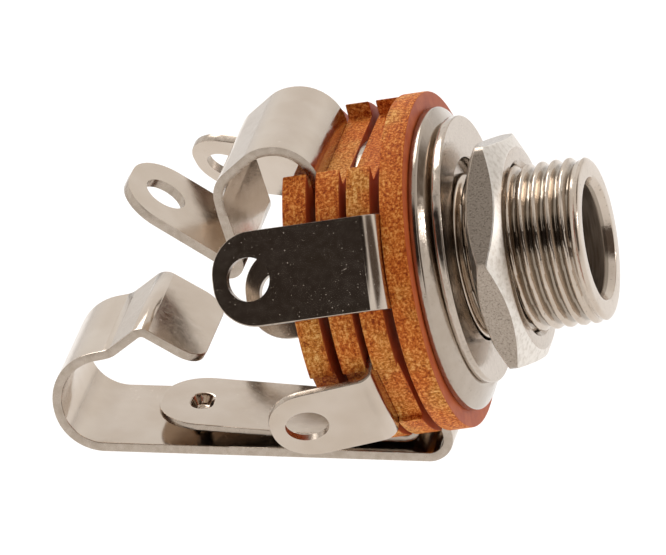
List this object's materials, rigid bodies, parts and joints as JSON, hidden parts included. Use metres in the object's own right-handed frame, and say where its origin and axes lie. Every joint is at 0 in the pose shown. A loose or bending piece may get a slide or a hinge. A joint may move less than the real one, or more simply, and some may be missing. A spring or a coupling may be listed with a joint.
{
  "type": "quarter inch phone jack",
  "caption": "Open-frame panel jack for a quarter inch phone plug: threaded bushing with nut, clamped stack of fibre discs and solder lugs, sprung tip and ring contacts, tip switch leaf.",
  "frame": {"origin": "on the bushing's axis, in the plane of the flange's front face, where the panel seats", "axes": "+X along the bushing's axis out of the panel, towards the plug; +Z towards the ring spring's arch; +Y to the side away from the tip lug"},
  "size_m": [0.0328, 0.0211, 0.0208],
  "materials": {
    "turned_nickel": "bright nickel plate on turned metal",
    "spring_nickel": "bright nickel plate on stamped sheet",
    "fibre": "laminated fibre, glossy red-brown faces and speckled orange cut edges",
    "tube": "plain fibre tube"
  },
  "bodies": {
    "stack": {"bushing": "turned_nickel", "panel_washer": "turned_nickel", "front_insulator": "fibre", "tip_terminal": "spring_nickel", "tip_insulator": "fibre", "switch_terminal": "spring_nickel", "switch_insulator": "fibre", "ring_terminal": "spring_nickel", "rear_insulator": "fibre", "sleeve_terminal": "spring_nickel", "insulating_tube": "tube"},
    "nut": {"hex_nut": "turned_nickel"},
    "tip_arm": {"tip_spring": "spring_nickel"},
    "ring_arm": {"ring_spring": "spring_nickel"}
  },
  "joints": [
    {"name": "nut_turn", "type": "hinge", "parent": "stack", "child": "nut", "pos_m": [0.0025, 0, 0], "axis": [1, 0, 0], "continuous": true},
    {"name": "tip_flex", "type": "hinge", "parent": "stack", "child": "tip_arm", "pos_m": [-0.00562, 0, -0.01009], "axis": [0, -1, 0], "range_deg": [0, 9], "stiffness_Nm_per_rad": 0.4},
    {"name": "ring_flex", "type": "hinge", "parent": "stack", "child": "ring_arm", "pos_m": [-0.00663, 0, 0.00805], "axis": [0, 1, 0], "range_deg": [0, 6], "stiffness_Nm_per_rad": 0.3}
  ]
}
